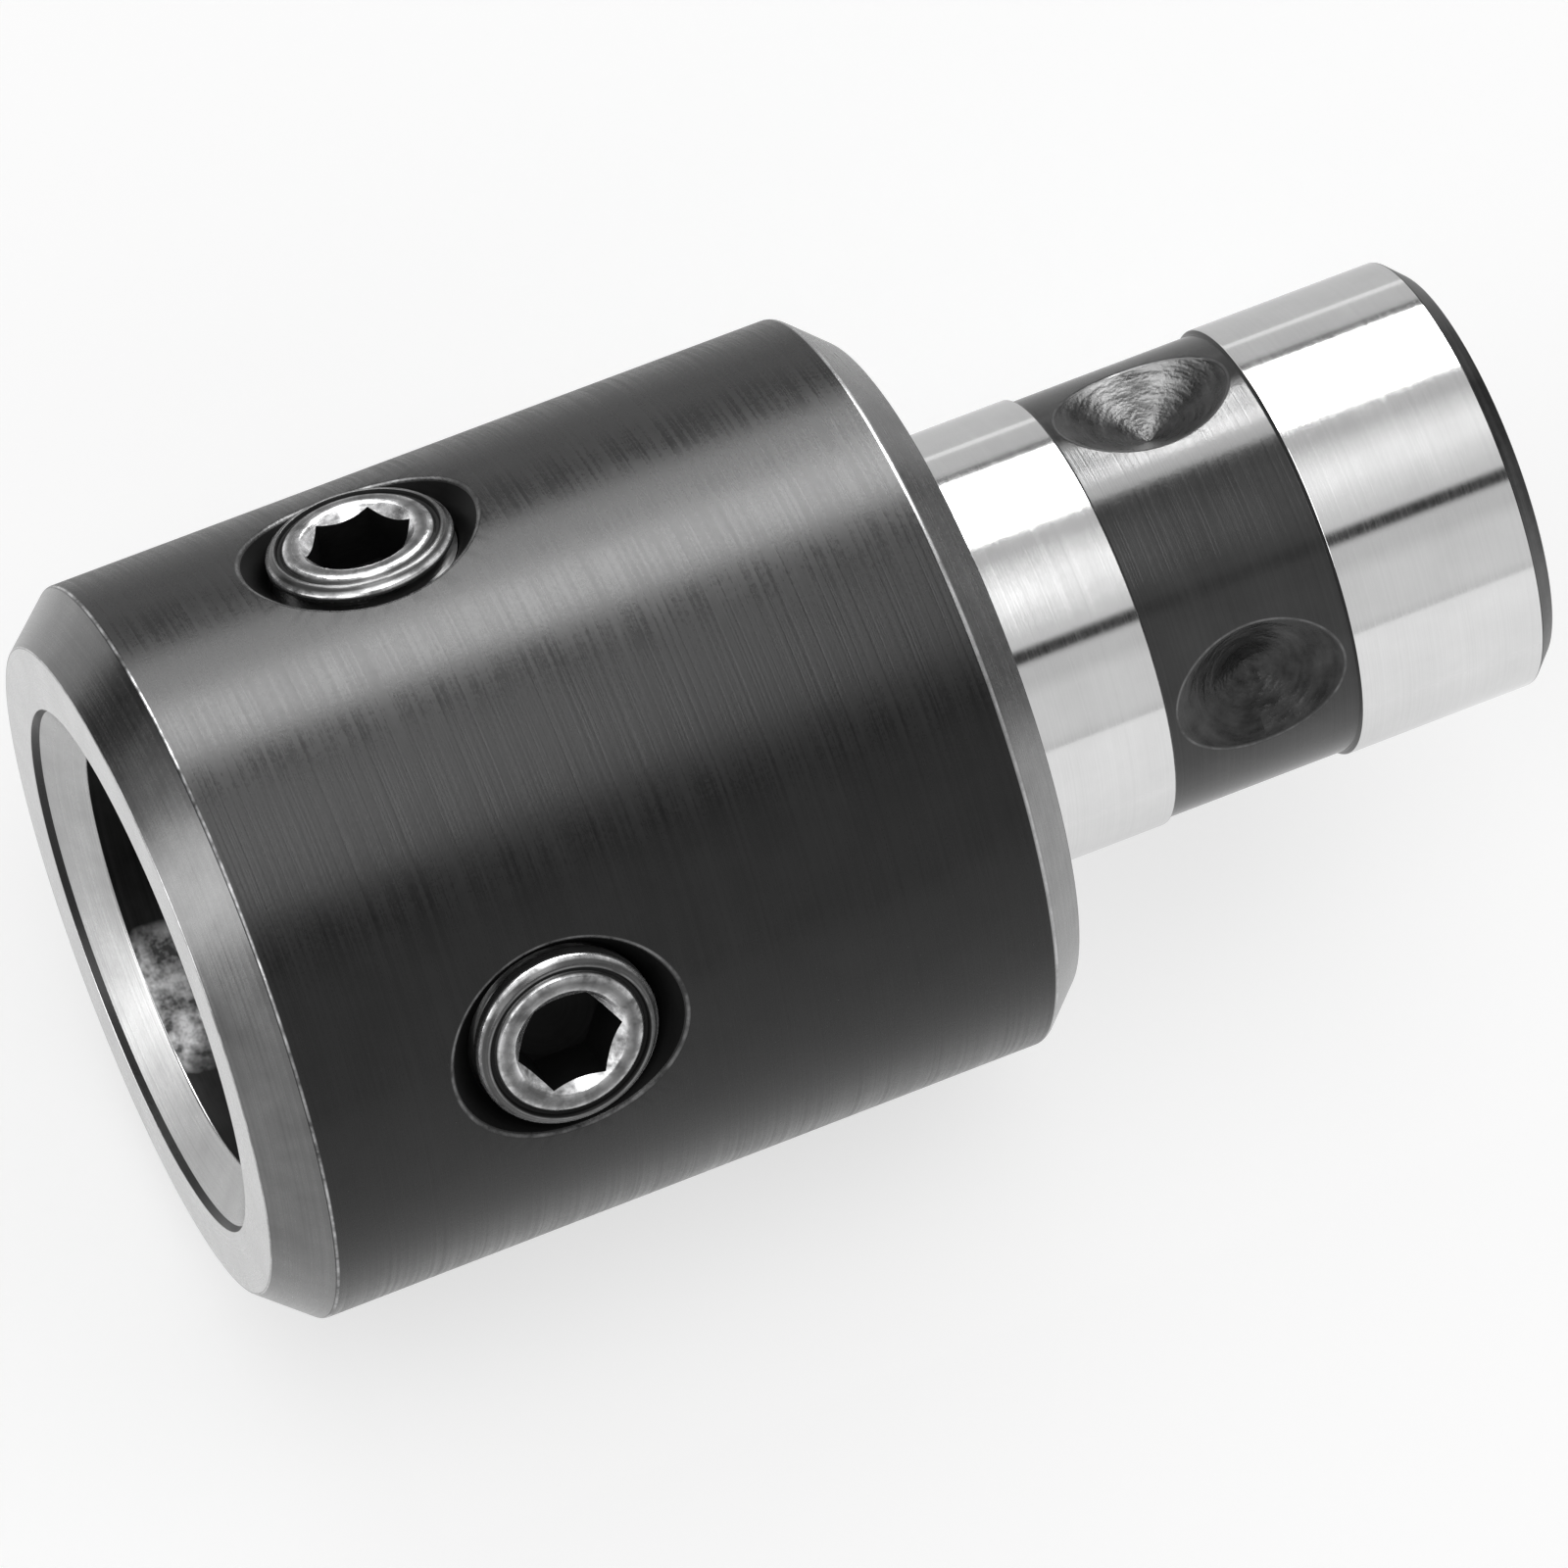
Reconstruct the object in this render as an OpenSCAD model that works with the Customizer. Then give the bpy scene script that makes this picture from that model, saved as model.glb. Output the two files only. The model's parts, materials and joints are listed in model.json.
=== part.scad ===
// Side-lock tool holder on a parallel shank.
//
// A turned body has a plain bore for a parallel tool shank, which two socket
// set screws clamp from the side, 90 degrees apart. Behind the body, a shank of
// the same diameter as the bore has two conical seats for the screws of the
// machine that it goes into. Inside, a sprung ejector pushes out what is cut.
//
// The axis is X: the bore's mouth looks towards -X and the shank points to +X.
// The origin is on the axis, in the plane of the shoulder behind the body.
// Clock angles turn about the axis, from -Y (0) to +Z (90).

/* [Body] */
// Outside diameter of the body
body_d = 32.4; // [31:0.1:36]
// Length of the body from its front face to its shoulder
body_l = 36.2; // [35:0.1:45]
// Radial width of the chamfer behind the front face
front_chamfer_w = 1.9; // [0.5:0.1:2.5]
// Length of the chamfer behind the front face
front_chamfer_l = 2.2; // [1:0.1:3]
// Radial width of the chamfer before the shoulder
rear_chamfer_w = 1.6; // [0.5:0.1:2.5]
// Length of the chamfer before the shoulder
rear_chamfer_l = 1.7; // [1:0.1:3]

/* [Bore] */
// Diameter of the bore that takes the tool's shank
bore_d = 19.05; // [18.8:0.05:19.4]
// Depth of the bore from the front face
bore_depth = 31; // [30:0.5:31.5]
// Diameter of the bore's chamfered mouth at the front face
mouth_d = 22.9; // [22:0.1:25]
// Length of the mouth's chamfer
mouth_l = 1.65; // [1:0.05:2.5]

/* [Shank] */
// Diameter of the shank
shank_d = 19.05; // [18.8:0.05:19.4]
// Length of the shank from the shoulder to its end
shank_l = 24.4; // [24.4:0.1:28]
// Start of the relieved band, measured from the shoulder
band_start = 6.7; // [5:0.1:7.2]
// Length of the relieved band
band_l = 8.6; // [8.6:0.1:9.5]
// Depth of the relief below the shank's ground surface
band_relief = 0.2; // [0.2:0.05:0.3]
// Width of the 45 degree chamfer at the shank's end
shank_chamfer = 0.8; // [0.3:0.1:1.5]

/* [Conical seats] */
// Diameter of a seat's rim, measured along the axis
seat_d = 7.65; // [6:0.05:7.8]
// Full angle of a seat's cone
seat_angle = 120; // [118:1:140]
// Clock angle of the lower seat
seat_clock = 25; // [0:1:90]

/* [Clamping screws] */
// Distance of the screws' axes from the front face
screw_from_front = 13.5; // [12:0.1:16]
// Clock angle of the lower screw
screw_clock = 28; // [0:1:90]
// Thread diameter
screw_d = 8; // [8:1:8]
// Length of a screw
screw_l = 5.6; // [5.4:0.1:5.7]
// Width across the flats of a screw's hexagon socket
socket_af = 4; // [3:0.5:4]
// Depth of the hexagon socket
socket_depth = 2.7; // [2:0.1:2.8]
// Diameter of the 90 degree countersink where it meets the body's tangent plane
countersink_d = 10.3; // [9:0.1:11]
// Depth of a screw's top below the body's tangent plane
screw_sink = 0; // [0:0.05:0.5]

/* [Ejector] */
// Diameter of the spring chamber behind the bore
chamber_d = 11; // [10.8:0.1:11.2]
// Distance from the shoulder to the chamber's far end
chamber_end = 15.5; // [15:0.5:16]
// How far the ejector can be pushed back
ejector_travel = 7.5; // [6:0.5:7.5]
// Diameter of the spring's wire
wire_d = 1; // [0.8:0.1:1]
// Number of coils, with the two closed ends
coils = 8; // [6:1:8]

/* [Hidden] */

black_oxide = "dimgray";
dark_steel = "darkslategray";
ground_steel = "silver";
brass = "goldenrod";
spring_steel = "lightsteelblue";

round_fn = 128;
small_fn = 64;
// Overlap of a cutting shape past the face that it cuts
cut = 0.5;
// Radial clearance of a screw in its tapped hole, and of each sliding part in its guide
running_gap = 0.05;
// Axial gap between two parts that rest against each other
face_gap = 0.03;

body_r = body_d / 2;
bore_r = bore_d / 2;
shank_r = shank_d / 2;
mouth_r = mouth_d / 2;
front_x = -body_l;
bore_floor_x = front_x + bore_depth;
band_end = band_start + band_l;
band_r = shank_r - band_relief;
screw_x = front_x + screw_from_front;
screw_clocks = [screw_clock + 90, screw_clock];
seat_x = band_start + band_l / 2;
seat_clocks = [seat_clock + 90, seat_clock];
seat_depth = seat_d / 2 / tan(seat_angle / 2);

screw_r = screw_d / 2 - running_gap / 2;
tapped_r = screw_r + running_gap;
screw_top = body_r - screw_sink;
screw_tip = screw_top - screw_l;
screw_chamfer = 0.5;
tip_chamfer = 0.7;
socket_corner_r = socket_af / 2 / cos(30);
socket_lead_w = 0.2;
socket_lead_r = socket_corner_r + socket_lead_w;
socket_cone_l = 0.6;

pad_r = 2.8;
pad_l = 0.77;
pad_chamfer = 0.3;
spigot_r = 1.4;
spigot_l = 0.8;
spigot_hole_r = spigot_r + running_gap;
spigot_hole_l = 1;

chamber_r = chamber_d / 2;
chamber_lead = 0.4;
groove_x = bore_floor_x + 1;
groove_w = 1.1;
groove_depth = 0.45;
groove_r = chamber_r + groove_depth;
ring_t = 1;
ring_r = groove_r - running_gap;
ring_w = 1.2;
ring_inner_r = ring_r - ring_w;
ring_gap_angle = 44;
lug_r = 1.15;
// Angle from the edge of the ring's gap to the middle of a lug
lug_set_back = 6;
lug_hole_r = 0.5;

collar_x = groove_x + groove_w + face_gap;
collar_l = 2;
collar_r = chamber_r - running_gap;
boss_r = 2.7;
boss_l = collar_x - bore_floor_x;
boss_chamfer = 0.4;
stem_r = 2.3;
stem_end = chamber_end + 1;
guide_r = stem_r + running_gap;
guide_lead = 0.6;
coolant_r = 0.8;
pilot_seat_r = 1.7;
coil_outer_gap = 0.3;
coil_outer_r = chamber_r - coil_outer_gap;
coil_r = coil_outer_r - wire_d / 2;
locator_gap = 0.25;
locator_r = coil_r - wire_d / 2 - locator_gap;
locator_l = 2.2;
spring_x = collar_x + collar_l + face_gap;
spring_l = chamber_end - spring_x - face_gap;
coil_steps = 16;
wire_sides = 8;
// Turns at each end of the spring where neighbouring coils touch
closed_turns = 1;

// Lays a shape that was built along +Z along +X
module along_x() {
  rotate([0, 90, 0])
    children();
}

// Stands a shape that was built along +Z radially, at a place on the axis and a clock angle
module radially(x, clock) {
  translate([x, 0, 0])
    rotate([90 - clock, 0, 0])
      children();
}

// A cylinder along X from one place to another
module bar(from, to, r, fn = round_fn) {
  translate([from, 0, 0])
    along_x()
      cylinder(h = to - from, r = r, $fn = fn);
}

// A cone along X
module taper(from, to, r_from, r_to, fn = round_fn) {
  translate([from, 0, 0])
    along_x()
      cylinder(h = to - from, r1 = r_from, r2 = r_to, $fn = fn);
}

// The turned outside: chamfered body, ground shank, relieved band and end chamfer
module turned_outside() {
  taper(front_x, front_x + front_chamfer_l, body_r - front_chamfer_w, body_r);
  bar(front_x + front_chamfer_l, -rear_chamfer_l, body_r);
  taper(-rear_chamfer_l, 0, body_r, body_r - rear_chamfer_w);
  bar(-cut, band_start, shank_r);
  bar(band_start - cut, band_end + cut, band_r);
  bar(band_end, shank_l - shank_chamfer, shank_r);
  taper(shank_l - shank_chamfer, shank_l, shank_r, shank_r - shank_chamfer);
}

// The bore with its chamfered mouth, the spring chamber and the stem's guide hole
module axial_holes() {
  mouth_slope = (mouth_r - bore_r) / mouth_l;
  bar(front_x - cut, bore_floor_x, bore_r);
  taper(front_x - cut, front_x + mouth_l, mouth_r + mouth_slope * cut, bore_r);
  bar(bore_floor_x - cut, chamber_end, chamber_r);
  taper(bore_floor_x, bore_floor_x + chamber_lead, chamber_r + chamber_lead, chamber_r);
  bar(groove_x, groove_x + groove_w, groove_r);
  bar(chamber_end - cut, shank_l + cut, guide_r, small_fn);
  taper(shank_l - guide_lead, shank_l + cut, guide_r, guide_r + guide_lead + cut, small_fn);
}

// A tapped hole with its countersink, from the bore to above the body
module tapped_hole() {
  cylinder(h = body_r + cut, r = tapped_r, $fn = small_fn);
  translate([0, 0, body_r - countersink_d / 2])
    cylinder(h = countersink_d / 2 + cut, r1 = 0, r2 = countersink_d / 2 + cut, $fn = small_fn);
}

// A conical seat in the shank's band
module seat() {
  slope = tan(seat_angle / 2);
  translate([0, 0, band_r - seat_depth])
    cylinder(h = seat_depth + cut, r1 = 0, r2 = (seat_depth + cut) * slope, $fn = small_fn);
}

// One turned piece of steel: the body and the shank
module holder_body() {
  color(black_oxide)
    difference() {
      turned_outside();
      axial_holes();
      for (clock = screw_clocks)
        radially(screw_x, clock)
          tapped_hole();
      for (clock = seat_clocks)
        radially(seat_x, clock)
          seat();
    }
}

// A hexagon with two corners along the axis, so that it lies the same way in both screws
module hexagon_hole(r, h) {
  cylinder(h = h, r = r, $fn = 6);
}

// A socket set screw, standing on its tip at the given height
module set_screw() {
  body_end = screw_l - screw_chamfer;
  socket_floor = screw_l - socket_depth;
  lead_l = socket_lead_r - socket_af / 2;
  translate([0, 0, screw_tip])
    difference() {
      union() {
        cylinder(h = tip_chamfer, r1 = screw_r - tip_chamfer, r2 = screw_r, $fn = small_fn);
        translate([0, 0, tip_chamfer])
          cylinder(h = body_end - tip_chamfer, r = screw_r, $fn = small_fn);
        translate([0, 0, body_end])
          cylinder(h = screw_chamfer, r1 = screw_r, r2 = screw_r - screw_chamfer, $fn = small_fn);
      }
      translate([0, 0, socket_floor])
        hexagon_hole(socket_corner_r, socket_depth + cut);
      translate([0, 0, socket_floor - socket_cone_l])
        cylinder(h = socket_cone_l + face_gap, r1 = 0, r2 = socket_af / 2, $fn = small_fn);
      translate([0, 0, screw_l - lead_l])
        cylinder(h = lead_l + face_gap, r1 = socket_af / 2, r2 = socket_lead_r + face_gap, $fn = small_fn);
      translate([0, 0, -cut])
        cylinder(h = spigot_hole_l + cut, r = spigot_hole_r, $fn = small_fn);
    }
}

// A soft pad under a screw's tip, with a spigot that turns in the tip's hole
module thrust_pad() {
  pad_top = screw_tip - face_gap;
  translate([0, 0, pad_top - pad_l]) {
    cylinder(h = pad_chamfer, r1 = pad_r - pad_chamfer, r2 = pad_r, $fn = small_fn);
    translate([0, 0, pad_chamfer])
      cylinder(h = pad_l - pad_chamfer, r = pad_r, $fn = small_fn);
    cylinder(h = pad_l + spigot_l, r = spigot_r, $fn = small_fn);
  }
}

module clamp_screw_upper() {
  color(dark_steel)
    radially(screw_x, screw_clocks[0])
      set_screw();
}

module clamp_screw_lower() {
  color(dark_steel)
    radially(screw_x, screw_clocks[1])
      set_screw();
}

module thrust_pad_upper() {
  color(brass)
    radially(screw_x, screw_clocks[0])
      thrust_pad();
}

module thrust_pad_lower() {
  color(brass)
    radially(screw_x, screw_clocks[1])
      thrust_pad();
}

// The ejector: a boss that the tool's pin pushes, a collar in the chamber and a guided stem
module ejector_plunger() {
  boss_x = collar_x - boss_l;
  collar_end = collar_x + collar_l;
  color(ground_steel)
    difference() {
      union() {
        taper(boss_x, boss_x + boss_chamfer, boss_r - boss_chamfer, boss_r, small_fn);
        bar(boss_x + boss_chamfer, collar_x + cut, boss_r, small_fn);
        bar(collar_x, collar_end, collar_r, small_fn);
        bar(collar_end - cut, collar_end + locator_l, locator_r, small_fn);
        bar(collar_end, stem_end - boss_chamfer, stem_r, small_fn);
        taper(stem_end - boss_chamfer, stem_end, stem_r, stem_r - boss_chamfer, small_fn);
      }
      bar(boss_x - cut, stem_end + cut, coolant_r, small_fn);
      taper(boss_x - cut, boss_x + pilot_seat_r, pilot_seat_r + cut, 0, small_fn);
    }
}

// How far along the spring the wire's middle is after a number of turns: the first and
// last turns rise by one wire diameter, and the open ones share what is left
function coil_height(turn) =
  let (
    open_turns = coils - 1 - 2 * closed_turns,
    closed_rise = closed_turns * wire_d,
    open_pitch = (spring_l - wire_d - 2 * closed_rise) / open_turns,
    open_part = min(max(turn - closed_turns, 0), open_turns),
    end_part = min(turn, closed_turns) + max(turn - closed_turns - open_turns, 0)
  )
  wire_d / 2 + wire_d * end_part + open_pitch * open_part;

// One corner of the wire's cross-section, at a number of turns from the spring's start
function wire_point(turn, side) =
  let (
    round_axis = 360 * turn,
    round_wire = 360 * side / wire_sides,
    reach = coil_r + wire_d / 2 * cos(round_wire)
  )
  [
    coil_height(turn) + wire_d / 2 * sin(round_wire),
    reach * cos(round_axis),
    reach * sin(round_axis)
  ];

// A compression spring with closed ends, swept from rings of points
module ejector_spring() {
  rings = (coils - 1) * coil_steps;
  last = rings * wire_sides;
  points = [
    for (i = [0:rings])
      for (j = [0:wire_sides - 1])
        wire_point(i / coil_steps, j)
  ];
  sides = [
    for (i = [0:rings - 1])
      for (j = [0:wire_sides - 1])
        let (next = (j + 1) % wire_sides, a = i * wire_sides)
          [a + j, a + next, a + next + wire_sides, a + j + wire_sides]
  ];
  start_cap = [for (j = [0:wire_sides - 1]) wire_sides - 1 - j];
  end_cap = [for (j = [0:wire_sides - 1]) last + j];
  color(spring_steel)
    translate([spring_x, 0, 0])
      polyhedron(points = points, faces = concat(sides, [start_cap, end_cap]), convexity = 10);
}

// The outline of an internal retaining ring: an open ring with a drilled lug at each end
module ring_outline() {
  lug_centre_r = ring_inner_r - lug_r / 2;
  reach = 2 * ring_r;
  difference() {
    union() {
      difference() {
        circle(r = ring_r, $fn = round_fn);
        circle(r = ring_inner_r, $fn = round_fn);
        polygon([
          [0, 0],
          [reach * cos(ring_gap_angle / 2), -reach * sin(ring_gap_angle / 2)],
          [reach, 0],
          [reach * cos(ring_gap_angle / 2), reach * sin(ring_gap_angle / 2)]
        ]);
      }
      for (side = [-1, 1])
        rotate(side * (ring_gap_angle / 2 + lug_set_back))
          translate([lug_centre_r, 0])
            circle(r = lug_r, $fn = small_fn);
    }
    for (side = [-1, 1])
      rotate(side * (ring_gap_angle / 2 + lug_set_back))
        translate([lug_centre_r, 0])
          circle(r = lug_hole_r, $fn = small_fn);
  }
}

// The ring that keeps the ejector in its chamber, in a groove behind the bore's floor
module retaining_ring() {
  color(dark_steel)
    translate([groove_x + (groove_w - ring_t) / 2, 0, 0])
      along_x()
        linear_extrude(ring_t)
          ring_outline();
}

holder_body();
clamp_screw_upper();
clamp_screw_lower();
thrust_pad_upper();
thrust_pad_lower();
ejector_plunger();
ejector_spring();
retaining_ring();
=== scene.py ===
import json
import math

import bmesh
import bpy
import numpy as np
from mathutils import Matrix, Vector


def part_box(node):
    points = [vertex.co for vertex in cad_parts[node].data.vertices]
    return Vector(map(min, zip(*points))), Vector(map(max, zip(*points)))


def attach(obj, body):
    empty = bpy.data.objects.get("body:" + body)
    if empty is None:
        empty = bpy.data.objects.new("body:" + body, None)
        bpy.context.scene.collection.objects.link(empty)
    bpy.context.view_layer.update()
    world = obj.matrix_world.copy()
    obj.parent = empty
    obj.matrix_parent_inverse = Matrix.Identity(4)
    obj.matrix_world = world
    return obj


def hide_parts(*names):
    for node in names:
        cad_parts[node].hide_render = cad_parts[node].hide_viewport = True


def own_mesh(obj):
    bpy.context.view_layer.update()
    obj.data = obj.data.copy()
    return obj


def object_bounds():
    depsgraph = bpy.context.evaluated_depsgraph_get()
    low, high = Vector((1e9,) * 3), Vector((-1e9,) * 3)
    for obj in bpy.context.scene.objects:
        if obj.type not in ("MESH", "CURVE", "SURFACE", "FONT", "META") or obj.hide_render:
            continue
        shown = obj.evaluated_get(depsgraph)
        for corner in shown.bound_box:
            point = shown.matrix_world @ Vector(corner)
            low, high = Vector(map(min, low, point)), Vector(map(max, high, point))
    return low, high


# Looks of a side-lock tool holder. The axis is X: the bore's mouth looks towards -X and the
# shank points to +X. Clock angles turn about the axis, from -Y (0) to +Z (90). All in metres.

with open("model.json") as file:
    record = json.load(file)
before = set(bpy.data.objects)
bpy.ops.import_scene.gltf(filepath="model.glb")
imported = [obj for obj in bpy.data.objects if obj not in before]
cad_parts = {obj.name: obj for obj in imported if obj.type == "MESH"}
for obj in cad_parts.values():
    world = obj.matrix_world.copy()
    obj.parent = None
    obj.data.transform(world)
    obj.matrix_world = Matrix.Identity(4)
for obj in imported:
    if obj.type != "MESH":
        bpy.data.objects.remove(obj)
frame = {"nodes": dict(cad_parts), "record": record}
cad_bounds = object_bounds()

MM = 0.001
mounts = {m["name"]: m for m in frame["record"]["mounts"]}

# ---------------------------------------------------------------- sizes, from the frame

body_low, body_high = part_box("holder_body")
FRONT_X = body_low.x
END_X = body_high.x
BODY_R = body_high.z
BORE_R = mounts["bore"]["dims"]["r_mm"] * MM
SHANK_R = mounts["shank"]["dims"]["r_mm"] * MM

FRONT_CHAMFER_W = 1.9 * MM
FRONT_CHAMFER_L = 2.2 * MM
REAR_CHAMFER_W = 1.6 * MM
REAR_CHAMFER_L = 1.7 * MM
MOUTH_R = 11.45 * MM
MOUTH_L = 1.65 * MM
BORE_L = 31 * MM
BORE_FLOOR_X = FRONT_X + BORE_L
BAND_START = 6.7 * MM
BAND_END = 15.3 * MM
BAND_R = SHANK_R - 0.2 * MM
SHANK_CHAMFER = 0.8 * MM
CHAMBER_R = 5.5 * MM
CHAMBER_END = 15.5 * MM
CHAMBER_LEAD = 0.4 * MM
GROOVE_X = BORE_FLOOR_X + 1 * MM
GROOVE_W = 1.1 * MM
GROOVE_R = CHAMBER_R + 0.45 * MM
GUIDE_R = 2.35 * MM
GUIDE_LEAD = 0.6 * MM

TAPPED_R = 4.0 * MM
COUNTERSINK_R = 5.15 * MM
PITCH = 1.25 * MM
# Half of the flat on a thread's crest, in pitches
CREST_HALF = 1 / 16
# How far the hole's thread stands inside its wall, and the screw's outside its root
HOLE_THREAD_DEPTH = 0.58 * MM
SCREW_THREAD_DEPTH = 0.66 * MM
# A plain length at the top of the hole, where the screw's top goes when it is turned in
HOLE_RELIEF_L = 1.8 * MM
THREAD_R = 3.95 * MM
SEAT_R = 3.825 * MM
SEAT_HALF_ANGLE = math.radians(60)

SCREW_NAMES = ("upper", "lower")

# Points nearer than WELD are joined, and lengths less than SAME apart count as equal
WELD = 1e-7
SAME = 1e-9

# Segments round the turned piece, round each hole in it and round a screw
AROUND = 256
AROUND_HOLE = 128
AROUND_SCREW = 96


# ---------------------------------------------------------------- a surface, built by parts


def add_object(name, data):
    """A new object in the scene."""
    added = bpy.data.objects.new(name, data)
    bpy.context.scene.collection.objects.link(added)
    return added


class Surface:
    """Vertices, faces and materials of one surface.

    Wear is 1 where an edge is rubbed bright. Inside a hole, local is the place in the hole's frame.
    """

    def __init__(self):
        self.points = []
        self.normals = []
        self.wear = []
        self.local = []
        self.faces = []
        self.zones = []

    def add(self, points, normals=None, wear=0.0, local=None):
        """Adds points and returns their indices. Without normals, the faces decide the shading."""
        first = len(self.points)
        self.points.extend(tuple(p) for p in points)
        self.normals.extend(
            [(0.0, 0.0, 0.0)] * len(points) if normals is None else [tuple(n) for n in normals]
        )
        self.wear.extend([wear] * len(points) if np.isscalar(wear) else list(wear))
        self.local.extend(tuple(p) for p in (points if local is None else local))
        return list(range(first, first + len(points)))

    def strip(self, first, second, zone, closed=True):
        """Quads between two rows of indices."""
        count = len(first)
        for j in range(count if closed else count - 1):
            k = (j + 1) % count
            self.faces.append((first[j], first[k], second[k], second[j]))
            self.zones.append(zone)

    def chain(self, rows, zone):
        """Closed strips from each row to the next."""
        for a, b in zip(rows, rows[1:]):
            self.strip(a, b, zone)

    def fan(self, ring, centre, zone):
        """Triangles from a ring of indices to one point."""
        for j in range(len(ring)):
            self.faces.append((ring[j], ring[(j + 1) % len(ring)], centre))
            self.zones.append(zone)

    def cap(self, ring, zone):
        """One flat face within a ring of indices."""
        self.faces.append(tuple(ring))
        self.zones.append(zone)

    def build(self, name, materials, smooth_angle=None):
        """The Blender object. Zones are the keys of materials."""
        mesh = bpy.data.meshes.new(name)
        names = list(materials)
        mesh.from_pydata(self.points, [], self.faces)
        for zone in names:
            mesh.materials.append(materials[zone])
        mesh.polygons.foreach_set("material_index", [names.index(z) for z in self.zones])
        mesh.polygons.foreach_set("use_smooth", [True] * len(self.faces))
        wear = mesh.attributes.new("wear", "FLOAT", "POINT")
        wear.data.foreach_set("value", self.wear)
        local = mesh.attributes.new("local", "FLOAT_VECTOR", "POINT")
        local.data.foreach_set("vector", np.array(self.local, float).ravel())
        normal = mesh.attributes.new("own_normal", "FLOAT_VECTOR", "POINT")
        normal.data.foreach_set("vector", np.array(self.normals, float).ravel())
        work = bmesh.new()
        work.from_mesh(mesh)
        bmesh.ops.remove_doubles(work, verts=work.verts, dist=WELD)
        bmesh.ops.dissolve_degenerate(work, edges=work.edges, dist=WELD)
        work.to_mesh(mesh)
        work.free()
        own = np.zeros(len(mesh.vertices) * 3)
        mesh.attributes["own_normal"].data.foreach_get("vector", own)
        mesh.attributes.remove(mesh.attributes["own_normal"])
        mesh.validate()
        if smooth_angle is None:
            mesh.normals_split_custom_set_from_vertices(own.reshape(-1, 3))
        else:
            mesh.set_sharp_from_angle(angle=smooth_angle)
        return add_object(name, mesh)


def unit(vector):
    return vector / np.linalg.norm(vector)


def smooth_step(value):
    value = np.clip(value, 0.0, 1.0)
    return value * value * (3 - 2 * value)


def bezier(start, corner, end, count):
    """Points along a rounded corner, both ends included."""
    for t in np.linspace(0, 1, count):
        yield (1 - t) ** 2 * start + 2 * t * (1 - t) * corner + t * t * end


# ---------------------------------------------------------------- turned shapes


class Station:
    """One ring of a turned shape: its place, its normal, its wear and the zone that follows it."""

    def __init__(self, x, r, normal, zone, wear=0.0):
        self.x, self.r, self.normal, self.zone, self.wear = x, r, normal, zone, wear


def rounded_profile(corners, closed, arc_steps=5):
    """Stations along a profile of corners (x, r, radius, zone, extra x lines).

    The material lies on the right of the direction of travel. A corner's zone and lines belong
    to the straight that follows it. Convex corners are marked as worn in their middle.
    """
    # a smaller turn than this is no corner
    least_turn = 1e-6
    stations = []
    count = len(corners)
    for i, (x, r, radius, zone, lines) in enumerate(corners):
        here = np.array([x, r])
        before = np.array(corners[i - 1][:2]) if closed or i > 0 else None
        after = np.array(corners[(i + 1) % count][:2]) if closed or i < count - 1 else None
        d_in = unit(here - before) if before is not None else unit(after - here)
        d_out = unit(after - here) if after is not None else d_in
        n_in = np.array([-d_in[1], d_in[0]])
        n_out = np.array([-d_out[1], d_out[0]])
        turn = math.atan2(d_in[0] * d_out[1] - d_in[1] * d_out[0], float(d_in @ d_out))
        if radius <= 0 or abs(turn) < least_turn:
            stations.append(Station(x, r, n_in, corners[i - 1][3]))
            stations.append(Station(x, r, n_out, zone))
        else:
            reach = radius * math.tan(abs(turn) / 2)
            side = 1 if turn < 0 else -1
            centre = here - d_in * reach - side * n_in * radius
            for step in range(arc_steps + 1):
                angle = turn * step / arc_steps
                c, s = math.cos(angle), math.sin(angle)
                normal = np.array([c * n_in[0] - s * n_in[1], s * n_in[0] + c * n_in[1]])
                place = centre + side * radius * normal
                wear = math.sin(math.pi * step / arc_steps) if side > 0 else 0.0
                stations.append(Station(place[0], place[1], normal, zone, wear))
        for line in lines:
            stations.append(Station(line, r, n_out, zone))
    return stations


def clock_ring(x, r, angles):
    """Points of a circle about X."""
    return [(x, -r * math.cos(a), r * math.sin(a)) for a in angles]


def lathe(surface, stations, around, start_angle=0.0, closed=False, windows=()):
    """Turns the stations about X, and leaves the windows open."""
    step = 2 * math.pi / around
    angles = [start_angle + step * j for j in range(around)]
    rings = []
    for s in stations:
        nx, nr = s.normal
        normals = [(nx, -nr * math.cos(a), nr * math.sin(a)) for a in angles]
        rings.append(surface.add(clock_ring(s.x, s.r, angles), normals, s.wear))
    pairs = len(stations) if closed else len(stations) - 1
    for i in range(pairs):
        k = (i + 1) % len(stations)
        a, b = stations[i], stations[k]
        if abs(a.x - b.x) < SAME and abs(a.r - b.r) < SAME:
            continue
        low, high = min(a.x, b.x), max(a.x, b.x)
        skipped = set()
        for w in windows:
            same_wall = abs(a.r - w.r) < SAME and abs(b.r - w.r) < SAME
            if same_wall and low > w.xs[0] - SAME and high < w.xs[-1] + SAME:
                skipped.update((w.first + j) % around for j in range(w.span))
        for j in range(around):
            if j in skipped:
                continue
            n = (j + 1) % around
            surface.faces.append((rings[i][j], rings[k][j], rings[k][n], rings[i][n]))
            surface.zones.append(a.zone)


# ---------------------------------------------------------------- holes across a turned shape


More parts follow.
